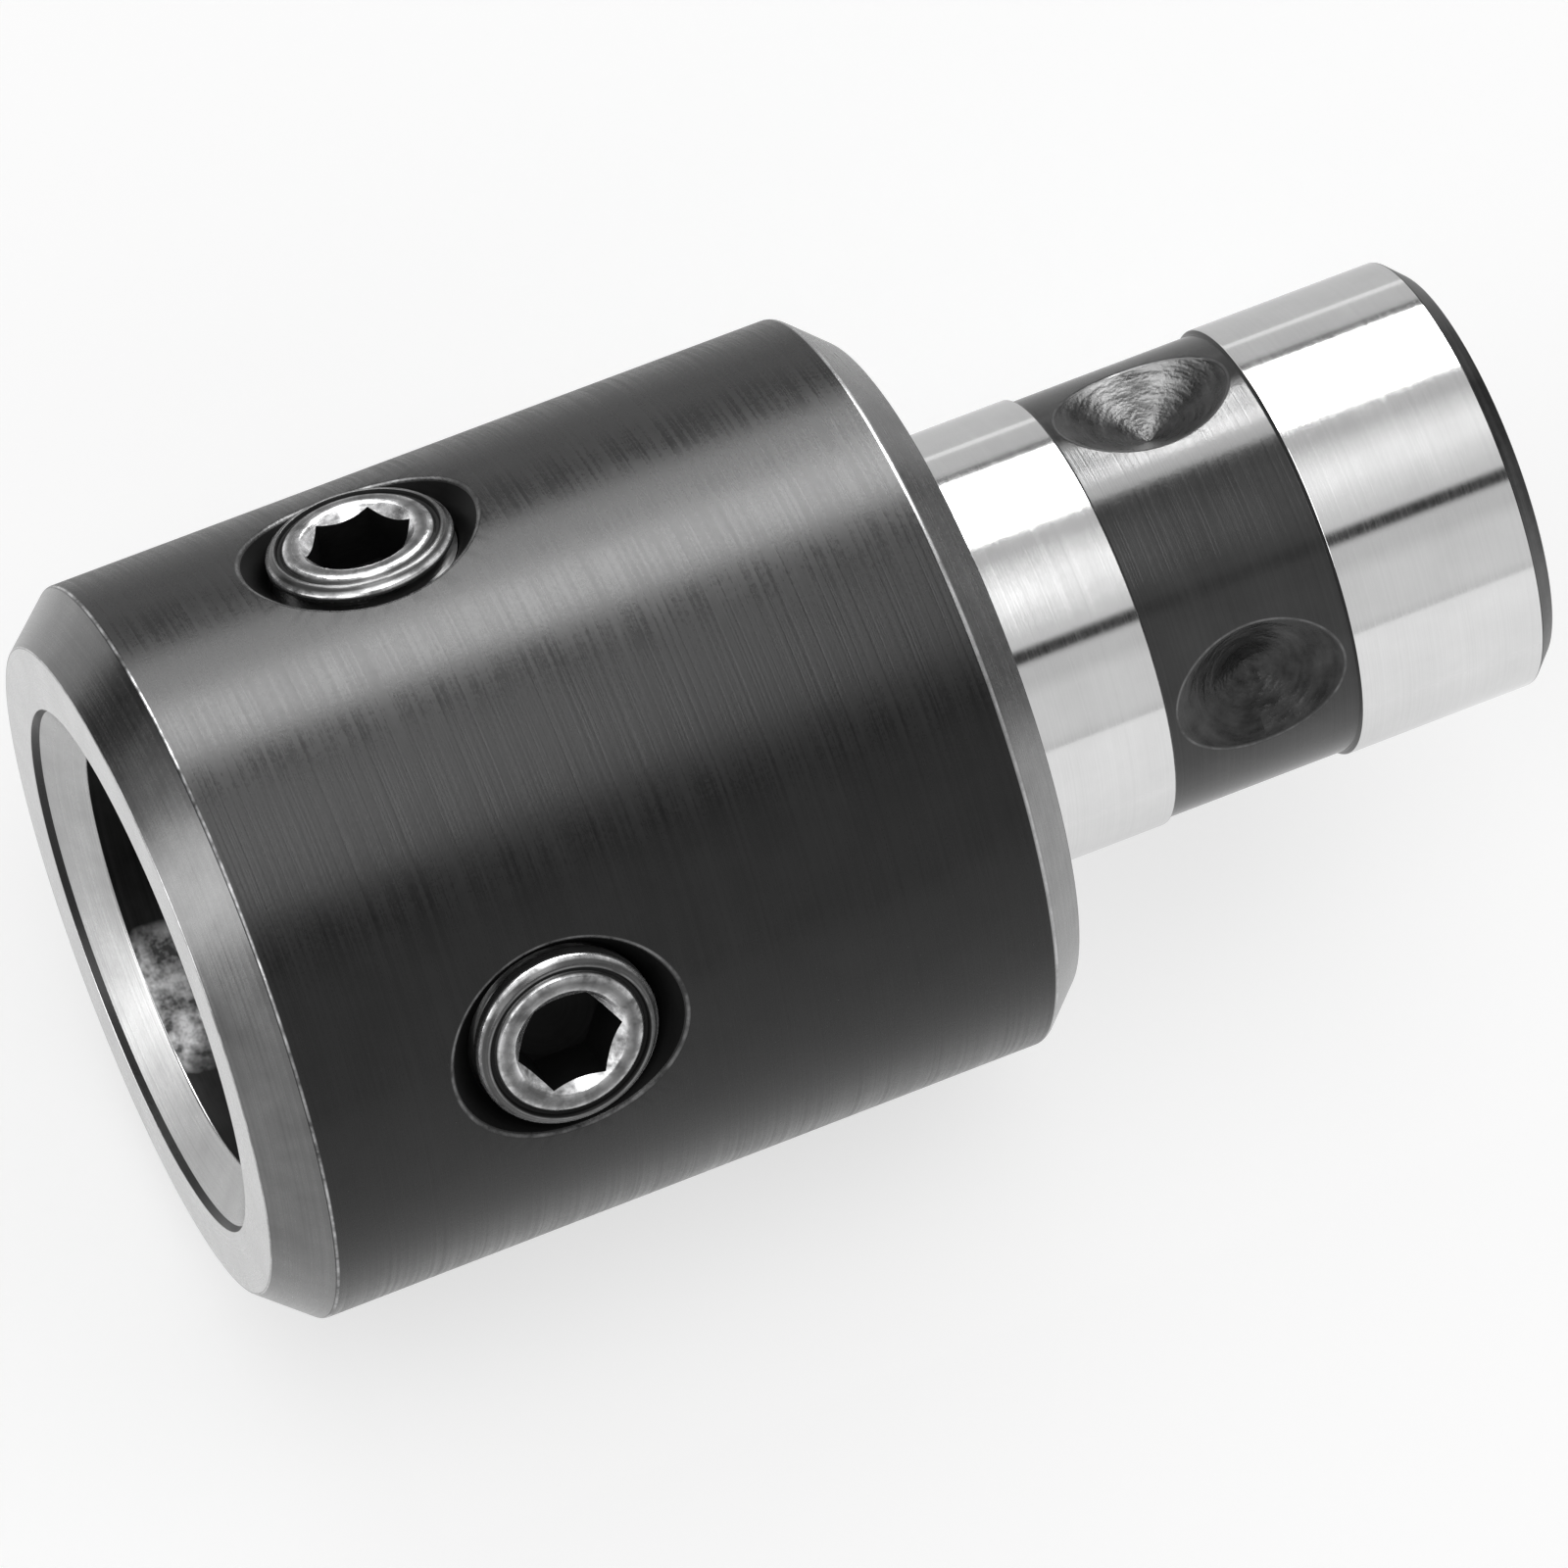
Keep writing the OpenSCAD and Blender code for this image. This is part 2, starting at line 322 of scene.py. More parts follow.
class Radial:
    """Axes of a hole or a screw across the holder: u along X, v round the clock, h outwards."""

    def __init__(self, mount):
        self.x = mount["pos_m"][0]
        self.h = np.array(mount["axis"], float)
        self.u = np.array([1.0, 0.0, 0.0])
        self.v = np.cross(self.h, self.u)
        self.clock = math.atan2(self.h[2], -self.h[1])

    def place(self, u, v, h):
        return np.array([self.x, 0, 0]) + self.u * u + self.v * v + self.h * h

    def matrix(self):
        axes = Matrix(np.column_stack([self.u, self.v, self.h]).tolist()).to_4x4()
        return Matrix.Translation((self.x, 0, 0)) @ axes


screw_frames = {name: Radial(mounts["socket_" + name]) for name in SCREW_NAMES}
seat_frames = {name: Radial(mounts["seat_" + name]) for name in SCREW_NAMES}
AROUND_START = screw_frames["lower"].clock


class Window:
    """A patch of a turned wall, as wide as span segments, that a hole's own rings will fill."""

    def __init__(self, radial, wall_r, half_l, span, lines):
        self.radial = radial
        self.r = wall_r
        self.xs = np.linspace(radial.x - half_l, radial.x + half_l, lines + 1)
        self.step = 2 * math.pi / AROUND
        self.first = round((radial.clock - AROUND_START) / self.step) - span // 2
        self.span = span

    def edge(self):
        """AROUND_HOLE points of the edge, from +u towards +v: their (x offset, clock offset)."""
        first = AROUND_START + self.step * self.first - self.radial.clock
        clocks = [first + self.step * j for j in range(self.span + 1)]
        # the clock offset is wrapped to the nearest turn
        turn = 2 * math.pi * round(clocks[len(clocks) // 2] / (2 * math.pi))
        clocks = [c - turn for c in clocks]
        xs = [x - self.radial.x for x in self.xs]
        edge = [(xs[-1], c) for c in clocks[:-1]]
        edge += [(x, clocks[-1]) for x in xs[:0:-1]]
        edge += [(xs[0], c) for c in clocks[:0:-1]]
        edge += [(x, clocks[0]) for x in xs[:-1]]
        # the first point is the one straight along +u from the middle
        ahead = [i for i in range(len(edge)) if edge[i][0] > 0]
        nearest = min(ahead, key=lambda i: abs(edge[i][1]))
        return edge[nearest:] + edge[:nearest]

    def wall_point(self, u, clock):
        """A point on the wall, and the wall's outward normal there."""
        angle = self.radial.clock + clock
        outward = np.array([0, -math.cos(angle), math.sin(angle)])
        return np.array([self.radial.x + u, 0, 0]) + outward * self.r, outward

    def rim(self, cutter_r):
        """Where a round cutter meets the wall: (u, v, h) for each direction.

        cutter_r gives the cutter's radius at a height. The height is found by repeating.
        """
        repeats = 30
        ring = []
        for j in range(AROUND_HOLE):
            angle = 2 * math.pi * j / AROUND_HOLE
            height = self.r
            for _ in range(repeats):
                radius = cutter_r(height)
                v = radius * math.sin(angle)
                height = math.sqrt(self.r**2 - v * v)
            ring.append(np.array([radius * math.cos(angle), v, height]))
        return ring


def wall_rings(surface, w, rim_ring, lip, side, count=5, crowding=1.5):
    """Rings on the wall from the window's edge to just outside the rim, as lists of indices.

    Side is 1 on an outer wall and -1 on an inner one.
    """
    edge = w.edge()
    rings = []
    for t in np.linspace(0, 1, count) ** crowding:
        points, normals = [], []
        for j, (u_edge, clock_edge) in enumerate(edge):
            u, v, _ = rim_ring[j]
            reach = math.hypot(u, v)
            u_near, v_near = u * (1 + lip / reach), v * (1 + lip / reach)
            clock_near = math.asin(v_near / w.r)
            s = 1 - t
            point, normal = w.wall_point(
                u_near + (u_edge - u_near) * s, clock_near + (clock_edge - clock_near) * s
            )
            points.append(point)
            normals.append(normal * side)
        rings.append(surface.add(points, normals))
    return rings


def lip_rings(surface, w, rim_ring, inner, lip, rubbed):
    """Rings that round the rim's edge, from the wall to the cutter's own surface."""
    wear = (0.0, 0.8 * rubbed, rubbed, 0.8 * rubbed, 0.0)
    rings = [[] for _ in wear]
    locals_ = [[] for _ in wear]
    for j, corner in enumerate(rim_ring):
        u, v, _ = corner
        reach = math.hypot(u, v)
        scale = 1 + lip / reach
        start = np.array([u * scale, v * scale, math.sqrt(w.r**2 - (v * scale) ** 2)])
        for k, point in enumerate(bezier(start, corner, inner[j], len(wear))):
            rings[k].append(w.radial.place(*point))
            locals_[k].append(point)
    return [surface.add(ring, None, wear[k], locals_[k]) for k, ring in enumerate(rings)]


def rings_towards(surface, radial, start, end_r, end_h, fractions):
    """Rings from a ring of (u, v, h) points part of the way to a level circle."""
    rings = []
    for t in fractions:
        ring = []
        for u, v, h in start:
            reach = math.hypot(u, v)
            radius = reach + (end_r - reach) * t
            ring.append((u * radius / reach, v * radius / reach, h + (end_h - h) * t))
        rings.append(surface.add([radial.place(*p) for p in ring], None, 0.0, ring))
    return rings


def thread_profile(phase):
    """How deep a thread's 60 degree flanks are below its crest, for a phase in turns."""
    flank_slope = math.sqrt(3)
    away = abs((phase + 0.5) % 1.0 - 0.5)
    return max(away - CREST_HALF, 0.0) * PITCH * flank_slope


def thread_rows(surface, radius_at, low_at, high, around, zone, inward, place):
    """A threaded wall. Its rows follow the helix, and stop at the heights low_at(angle) and high."""
    # the rows of one turn: on the crest's edges, on its flanks and in the root
    phases = (-0.34, -0.2, -CREST_HALF, CREST_HALF, 0.2, 0.34, 0.5)
    angles = [2 * math.pi * j / around for j in range(around + 1)]
    lows = [low_at(a) for a in angles]
    first = math.floor(min(lows) / PITCH) - 2
    last = math.ceil(high / PITCH) + 1
    before = None
    for turn in range(first, last + 1):
        for phase in phases:
            row = []
            for angle, low in zip(angles, lows):
                height = min(max(PITCH * (turn + phase + angle / (2 * math.pi)), low), high)
                r = radius_at(height, angle, low)
                row.append(place(r * math.cos(angle), r * math.sin(angle), height))
            row = surface.add(row)
            if before is not None:
                pair = (row, before) if inward else (before, row)
                surface.strip(pair[0], pair[1], zone, closed=False)
            before = row


def tapped_hole(surface, outer, inner):
    """Fills an outer and an inner window with a countersunk and tapped hole between them."""
    radial = outer.radial
    lip = 0.13 * MM
    corner = 0.06 * MM
    fade_top, fade_bottom = 0.45 * MM, 0.6 * MM
    cone_foot = BODY_R - COUNTERSINK_R
    high = cone_foot + TAPPED_R - corner
    thread_high = high - HOLE_RELIEF_L

    def cone_r(height):
        return height - cone_foot

    top_rim = outer.rim(cone_r)
    bottom_rim = inner.rim(lambda height: TAPPED_R)
    below_lip = []
    for u, v, h in top_rim:
        scale = 1 - lip / math.hypot(u, v)
        below_lip.append(np.array([u * scale, v * scale, h - lip]))
    rings = wall_rings(surface, outer, top_rim, lip, 1)
    lips = lip_rings(surface, outer, top_rim, below_lip, lip, 0.6)
    surface.chain(rings + lips, "oxide")
    corner_r = TAPPED_R + corner
    rings = rings_towards(surface, radial, below_lip, corner_r, cone_foot + corner_r, (0.5, 1.0))
    angles = [2 * math.pi * j / AROUND_HOLE for j in range(AROUND_HOLE)]
    foot = [(TAPPED_R * math.cos(a), TAPPED_R * math.sin(a), high) for a in angles]
    foot = surface.add([radial.place(*p) for p in foot], None, 0.0, foot)
    surface.chain([lips[-1], *rings, foot], "countersink")

    def low_at(angle):
        return math.sqrt(inner.r**2 - (TAPPED_R * math.sin(angle)) ** 2) + lip

    def radius_at(height, angle, low):
        phase = height / PITCH - angle / (2 * math.pi)
        depth = min(thread_profile(phase), HOLE_THREAD_DEPTH)
        fade = smooth_step((thread_high - height) / fade_top)
        fade *= smooth_step((height - low) / fade_bottom)
        return TAPPED_R - depth * fade

    thread_rows(surface, radius_at, low_at, high, AROUND_HOLE, "thread", True, radial.place)
    above_lip = [np.array([u, v, h + lip]) for u, v, h in bottom_rim]
    lips = lip_rings(surface, inner, bottom_rim, above_lip, lip, 0.0)[::-1]
    rings = wall_rings(surface, inner, bottom_rim, lip, -1)[::-1]
    surface.chain(lips + rings, "bore")


def conical_seat(surface, w):
    """Fills a window with a conical seat, its point very slightly round."""
    radial = w.radial
    lip = 0.1 * MM
    point_r = 0.16 * MM
    point_rise = 0.03 * MM
    slope = math.tan(SEAT_HALF_ANGLE)
    apex = w.r - SEAT_R / slope
    rim_ring = w.rim(lambda height: (height - apex) * slope)
    inner = []
    for u, v, h in rim_ring:
        scale = 1 - lip / math.hypot(u, v)
        inner.append(np.array([u * scale, v * scale, h - lip / slope]))
    rings = wall_rings(surface, w, rim_ring, lip, 1)
    lips = lip_rings(surface, w, rim_ring, inner, lip, 0.62)
    surface.chain(rings + lips, "band")
    fractions = (0.1, 0.3, 0.5, 0.7, 0.85, 1.0)
    rings = rings_towards(surface, radial, inner, point_r, apex + point_r / slope, fractions)
    surface.chain([lips[-1], *rings], "seat")
    point = (0, 0, apex + point_rise)
    tip = surface.add([radial.place(*point)], None, 0.0, [point])
    surface.fan(rings[-1], tip[0], "seat")


# ---------------------------------------------------------------- materials


class Nodes:
    """Short names for the few shader nodes that the materials and the studio share."""

    def __init__(self, tree):
        self.tree = tree

    def new(self, kind, **settings):
        node = self.tree.nodes.new(kind)
        for key, value in settings.items():
            setattr(node, key, value)
        return node

    def link(self, source, target):
        self.tree.links.new(source, target)

    def value(self, socket, value):
        if hasattr(value, "is_output"):
            self.link(value, socket)
        else:
            socket.default_value = value

    def math(self, operation, a, b=0.0):
        node = self.new("ShaderNodeMath", operation=operation)
        self.value(node.inputs[0], a)
        self.value(node.inputs[1], b)
        return node.outputs[0]

    def combine(self, x, y, z):
        node = self.new("ShaderNodeCombineXYZ")
        for socket, value in zip(node.inputs, (x, y, z)):
            self.value(socket, value)
        return node.outputs[0]

    def place(self, in_hole=False):
        """The place in the piece's own frame or in a hole's, and its x, y and z."""
        if in_hole:
            vector = self.new("ShaderNodeAttribute", attribute_name="local").outputs["Vector"]
        else:
            vector = self.new("ShaderNodeTexCoord").outputs["Object"]
        return vector, self.split(vector)

    def split(self, vector):
        node = self.new("ShaderNodeSeparateXYZ")
        self.link(vector, node.inputs[0])
        return node.outputs

    def noise(self, vector, scale, detail=3.0, roughness=0.55):
        node = self.new("ShaderNodeTexNoise")
        self.link(vector, node.inputs["Vector"])
        node.inputs["Scale"].default_value = scale
        node.inputs["Detail"].default_value = detail
        node.inputs["Roughness"].default_value = roughness
        return node.outputs["Fac"]

    def spread(self, value, low, high, to_low, to_high):
        node = self.new("ShaderNodeMapRange")
        self.link(value, node.inputs["Value"])
        node.inputs["From Min"].default_value = low
        node.inputs["From Max"].default_value = high
        node.inputs["To Min"].default_value = to_low
        node.inputs["To Max"].default_value = to_high
        return node.outputs["Result"]

    def mix_color(self, factor, a, b):
        node = self.new("ShaderNodeMix", data_type="RGBA")
        self.value(node.inputs["Factor"], factor)
        self.value(node.inputs["A"], a)
        self.value(node.inputs["B"], b)
        return node.outputs["Result"]

    def mix_value(self, factor, a, b):
        node = self.new("ShaderNodeMix", data_type="FLOAT")
        self.value(node.inputs["Factor"], factor)
        self.value(node.inputs["A"], a)
        self.value(node.inputs["B"], b)
        return node.outputs["Result"]

    def grey(self, factor, dark, light, tint=(1.0, 1.0, 1.0)):
        """A colour between two greys, by a factor."""
        low = tuple(dark * t for t in tint) + (1.0,)
        high = tuple(light * t for t in tint) + (1.0,)
        return self.mix_color(factor, low, high)

    def bump(self, height, distance, strength=1.0, under=None):
        node = self.new("ShaderNodeBump")
        node.inputs["Distance"].default_value = distance
        node.inputs["Strength"].default_value = strength
        self.link(height, node.inputs["Height"])
        if under is not None:
            self.link(under, node.inputs["Normal"])
        return node.outputs["Normal"]

    def near_clock(self, split, clock):
        """1 along a line of a turned wall at a clock angle, and 0 away from it."""
        _, y, z = split
        along = self.math("MULTIPLY", y, -math.cos(math.radians(clock)))
        along = self.math("ADD", along, self.math("MULTIPLY", z, math.sin(math.radians(clock))))
        return self.spread(along, BORE_R * 0.9, BORE_R * 0.99, 0.0, 1.0)

    def turned_lines(self, split, axis, spacing, drift=0.4):
        """Noise that is nearly even round an axis (0 is X, 2 is Z) and fine along and across it."""
        others = [i for i in range(3) if i != axis]
        squares = [self.math("MULTIPLY", split[i], split[i]) for i in others]
        radius = self.math("SQRT", self.math("ADD", squares[0], squares[1]))
        angle = self.math("ARCTAN2", split[others[0]], split[others[1]])
        per_line = 1 / spacing
        vector = self.combine(
            self.math("MULTIPLY", split[axis], per_line),
            self.math("MULTIPLY", radius, per_line),
            self.math("MULTIPLY", angle, drift),
        )
        return self.noise(vector, 1.0, 2.0, 0.6)


# How fine the noises are that cloud a surface, grain it, break its worn parts and its painted
# highlight, and fray that painted highlight
CLOUD_SCALE = 420.0
GRAIN_SCALE = 5200.0
BREAK_SCALE = 900.0
RAGGED_SCALE = 260.0


def steel(
    name,
    axis,
    tone,
    rough,
    spacing,
    depth,
    bare=0.0,
    metallic=1.0,
    ior=1.5,
    tint=(1, 1, 1),
    drift=0.4,
    in_hole=False,
    painted_sheen_clock=None,
):
    """Turned or ground steel: fine lines round an axis, cloudy tone, and edges rubbed bare.

    Tone and rough are lowest and highest values. Spacing and depth are those of the lines.
    Bare is how bright a rubbed edge gets, or 0. With a painted sheen clock, a strip of the wall near
    that clock angle is painted bright instead, a painted highlight, and the edges are not rubbed.
    """
    material = bpy.data.materials.new(name)
    material.use_nodes = True
    n = Nodes(material.node_tree)
    shader = material.node_tree.nodes["Principled BSDF"]
    vector, split = n.place(in_hole)
    lines = n.turned_lines(split, axis, spacing, drift)
    clouds = n.noise(vector, CLOUD_SCALE, 4.0, 0.6)
    grain = n.noise(vector, GRAIN_SCALE, 2.0, 0.6)
    mixed = n.mix_value(0.4, clouds, lines)
    colour = n.grey(n.spread(mixed, 0.3, 0.7, 0.0, 1.0), tone[0], tone[1], tint)
    rubs = n.mix_value(0.5, n.mix_value(0.5, clouds, grain), lines)
    roughness = n.spread(rubs, 0.35, 0.65, rough[0], rough[1])
    shine = metallic
    if bare:
        if painted_sheen_clock is None:
            wear = n.new("ShaderNodeAttribute", attribute_name="wear").outputs["Fac"]
        else:
            # a painted highlight: a ragged bright strip along the wall at this clock angle
            ragged = n.spread(n.noise(vector, RAGGED_SCALE, 3.0, 0.6), 0.35, 0.65, -0.3, 0.3)
            wear = n.math("ADD", n.near_clock(split, painted_sheen_clock), ragged)
        broken = n.spread(n.noise(vector, BREAK_SCALE, 3.0, 0.7), 0.35, 0.62, 0.1, 1.0)
        # the mask of rubbed edges, or of the painted highlight strip
        rubbed = n.math("MULTIPLY", n.spread(wear, 0.35, 0.95, 0.0, 1.0), broken)
        colour = n.mix_color(rubbed, colour, (bare, bare, bare * 1.01, 1.0))
        shine = n.mix_value(rubbed, metallic, 1.0)
    n.link(colour, shader.inputs["Base Color"])
    n.link(roughness, shader.inputs["Roughness"])
    n.value(shader.inputs["Metallic"], shine)
    shader.inputs["IOR"].default_value = ior
    first = n.bump(lines, depth)
    n.link(n.bump(grain, depth * 0.6, 0.6, first), shader.inputs["Normal"])
    return material


# Axes that the fine lines go round: the holder's X, and a hole's or a screw's own Z
X, Z = 0, 2

# Each has its name and axis, tone, roughness, and the spacing and depth of its lines
oxide = steel(
    "black_oxide", X, (0.006, 0.013), (0.2, 0.36), 0.14 * MM, 0.0075 * MM,
    bare=0.45, metallic=0.0, ior=1.38,
)
oxide_band = steel(
    "band_oxide", X, (0.034, 0.052), (0.12, 0.2), 0.11 * MM, 0.005 * MM,
    bare=0.3, metallic=0.0, ior=1.36,
)
chamfer_steel = steel(
    "chamfer_steel", X, (0.12, 0.19), (0.22, 0.3), 0.12 * MM, 0.004 * MM, bare=0.5
)
rear_steel = steel(
    "rear_chamfer_steel", X, (0.2, 0.32), (0.22, 0.3), 0.12 * MM, 0.004 * MM, bare=0.5
)
# A near-black step between the front face and the mouth's chamfer: painted shade along the mouth's edge
black_edge = steel(
    "black_edge", X, (0.003, 0.008), (0.25, 0.35), 0.12 * MM, 0.003 * MM,
    metallic=0.0, ior=1.4,
)
# Near black with very little reflection: painted shade in the countersinks round the screws
countersink = steel(
    "countersink_steel", Z, (0.002, 0.006), (0.35, 0.45), 0.2 * MM, 0.004 * MM,
    metallic=0.0, ior=1.14, in_hole=True,
)
seat_steel = steel(
    "seat_steel", Z, (0.006, 0.08), (0.22, 0.38), 0.5 * MM, 0.045 * MM,
    metallic=0.85, drift=1.5, in_hole=True,
)
ground = steel(
    "ground_steel", X, (0.66, 0.74), (0.07, 0.13), 0.05 * MM, 0.0006 * MM, drift=0.15
)
faced = steel("faced_steel", X, (0.42, 0.58), (0.2, 0.32), 0.12 * MM, 0.003 * MM)
mouth_steel = steel("mouth_steel", X, (0.34, 0.46), (0.2, 0.3), 0.12 * MM, 0.003 * MM)
# The bore's wall is black, with a painted highlight: a bright strip painted along the line where the
# screws press the tools against it, in place of light reflected by the wall
honed_with_painted_highlight = steel(
    "honed_steel", X, (0.01, 0.03), (0.35, 0.5), 0.15 * MM, 0.004 * MM,
    bare=0.95, metallic=0.7, painted_sheen_clock=-107,
)
dull = steel("dull_steel", X, (0.03, 0.1), (0.3, 0.45), 0.2 * MM, 0.004 * MM)
end_steel = steel("end_steel", X, (0.005, 0.13), (0.3, 0.42), 0.3 * MM, 0.006 * MM)
thread_steel = steel("thread_steel", X, (0.01, 0.03), (0.3, 0.45), 0.2 * MM, 0.003 * MM)
screw_steel = steel(
    "screw_steel", Z, (0.04, 0.11), (0.18, 0.3), 0.12 * MM, 0.008 * MM,
    bare=0.8, metallic=0.6,
)
# Near black and barely reflecting: painted shade in the screws' hex sockets and in the groove on their
# tops
socket_steel = steel(
    "socket_steel", Z, (0.004, 0.012), (0.35, 0.45), 0.1 * MM, 0.002 * MM,
    metallic=0.0, ior=1.2,
)
brass = steel(
    "pad_brass", Z, (0.62, 0.75), (0.22, 0.34), 0.1 * MM, 0.003 * MM, tint=(1.0, 0.76, 0.38)
)
plunger_steel = steel("plunger_steel", X, (0.5, 0.62), (0.18, 0.28), 0.1 * MM, 0.002 * MM)
spring_steel = steel("spring_wire", X, (0.3, 0.45), (0.25, 0.35), 0.3 * MM, 0.002 * MM)
ring_steel = steel("phosphated_steel", X, (0.08, 0.13), (0.4, 0.5), 0.2 * MM, 0.002 * MM)

# ---------------------------------------------------------------- the holder: body and shank


def holder_profile(body_lines, bore_lines, band_lines):
    """The corners of the turned piece, round its closed section from the bore's mouth."""
    bore_from_floor = list(bore_lines)[::-1]
    # roundings of the edges, and how the dark line, a small step coloured near black as painted shade,
    # stands out from and into the mouth
    fine, plain, soft, broad = 0.05 * MM, 0.1 * MM, 0.15 * MM, 0.3 * MM
    line_out, line_in, line_l = 0.1 * MM, 0.05 * MM, 0.34 * MM
    band_step = 0.1 * MM
    return [
        (FRONT_X, MOUTH_R + line_out, fine, "faced", ()),
        (FRONT_X, BODY_R - FRONT_CHAMFER_W, soft, "chamfer", ()),
        (FRONT_X + FRONT_CHAMFER_L, BODY_R, broad, "oxide", body_lines),
        (-REAR_CHAMFER_L, BODY_R, broad, "rear", ()),
        (0.0, BODY_R - REAR_CHAMFER_W, soft, "oxide", ()),
        (0.0, SHANK_R, plain, "ground", ()),
        (BAND_START, SHANK_R, fine, "band", ()),
        (BAND_START + band_step, BAND_R, fine, "band", band_lines),
        (BAND_END - band_step, BAND_R, fine, "band", ()),
        (BAND_END, SHANK_R, fine, "ground", ()),
        (END_X - SHANK_CHAMFER, SHANK_R, plain, "end", ()),
        (END_X, SHANK_R - SHANK_CHAMFER, plain, "dull", ()),
        (END_X, GUIDE_R + GUIDE_LEAD, plain, "dull", ()),
        (END_X - GUIDE_LEAD, GUIDE_R, plain, "dull", ()),
        (CHAMBER_END, GUIDE_R, plain, "dull", ()),
        (CHAMBER_END, CHAMBER_R, broad, "dull", ()),
        (GROOVE_X + GROOVE_W, CHAMBER_R, fine, "dull", ()),
        (GROOVE_X + GROOVE_W, GROOVE_R, fine, "dull", ()),
        (GROOVE_X, GROOVE_R, fine, "dull", ()),
        (GROOVE_X, CHAMBER_R, fine, "dull", ()),
        (BORE_FLOOR_X + CHAMBER_LEAD, CHAMBER_R, fine, "dull", ()),
        (BORE_FLOOR_X, CHAMBER_R + CHAMBER_LEAD, fine, "dull", ()),
        (BORE_FLOOR_X, BORE_R, 0.2 * MM, "bore", bore_from_floor),
        (FRONT_X + MOUTH_L, BORE_R, soft, "mouth", ()),
        (FRONT_X + line_l, MOUTH_R - line_in, fine, "edge", ()),
    ]


# The window round each hole: half length, segments round the wall and lines along it. The
# points of its edge, twice the segments and twice the lines, are as many as AROUND_HOLE.
BODY_WINDOW = (6.36 * MM, 32, 32)
BORE_WINDOW = (5.2 * MM, 44, 20)
BAND_WINDOW = (4.08 * MM, 38, 26)


def make_holder():
    """The turned piece with its two tapped holes and its two seats."""
    body_windows = [Window(screw_frames[n], BODY_R, *BODY_WINDOW) for n in SCREW_NAMES]
    bore_windows = [Window(screw_frames[n], BORE_R, *BORE_WINDOW) for n in SCREW_NAMES]
    band_windows = [Window(seat_frames[n], BAND_R, *BAND_WINDOW) for n in SCREW_NAMES]
    corners = holder_profile(body_windows[0].xs, bore_windows[0].xs, band_windows[0].xs)
    stations = rounded_profile(corners, closed=True)
    surface = Surface()
    windows = body_windows + bore_windows + band_windows
    lathe(surface, stations, AROUND, AROUND_START, closed=True, windows=windows)
    for outer, inner in zip(body_windows, bore_windows):
        tapped_hole(surface, outer, inner)
    for w in band_windows:
        conical_seat(surface, w)
    zones = {
        "oxide": oxide,
        "band": oxide_band,
        "chamfer": chamfer_steel,
        "rear": rear_steel,
        "end": end_steel,
        "edge": black_edge,
        "faced": faced,
        "ground": ground,
        "dull": dull,
        "bore": honed_with_painted_highlight,
        "mouth": mouth_steel,
        "countersink": countersink,
        "thread": thread_steel,
        "seat": seat_steel,
    }
    piece = surface.build("tool_holder", zones)
    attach(piece, "holder")
    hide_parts("holder_body")


make_holder()

# ---------------------------------------------------------------- the clamping screws

SCREW_TOP = BODY_R + 0.07 * MM
SCREW_L = 5.67 * MM
SCREW_TIP = SCREW_TOP - SCREW_L
SCREW_TIP_R = 2.7 * MM
SOCKET_AF = 4 * MM
SOCKET_DEPTH = 2.7 * MM
SOCKET_LEAD_SLOPE = 0.9
SOCKET_DRILL_R = SOCKET_AF / 2 * 0.97
SOCKET_DRILL_POINT = 0.6 * MM
SPIGOT_HOLE_R = 1.45 * MM
SPIGOT_HOLE_L = 1.0 * MM
SPIGOT_HOLE_LEAD = 0.1 * MM
# The top, from the thread's first crest to the socket: radius, depth, wear and zone
SCREW_TOP_RINGS = (
    (3.95, 0.62, 0.0, "steel"),
    (3.95, 0.5, 0.6, "steel"),
    (3.93, 0.43, 0.9, "steel"),
    (3.88, 0.36, 0.9, "steel"),
    (3.72, 0.2, 0.1, "steel"),
    (3.64, 0.13, 0.2, "steel"),
    (3.55, 0.09, 0.5, "steel"),
    (3.49, 0.1, 0.3, "groove"),
    (3.44, 0.15, 0.0, "groove"),
    (3.4, 0.26, 0.0, "groove"),
    (3.3, 0.28, 0.0, "groove"),
    (3.25, 0.26, 0.0, "steel"),
    (3.2, 0.17, 0.3, "steel"),
    (3.12, 0.08, 0.9, "steel"),
    (3.02, 0.03, 0.7, "steel"),
    (2.9, 0.008, 0.5, "steel"),
    (2.78, 0.0, 0.45, "steel"),
    (2.64, 0.005, 0.5, "steel"),
    (2.5, 0.03, 0.65, "steel"),
    (2.42, 0.07, 0.9, "steel"),
    (2.35, 0.14, 1.0, "steel"),
)


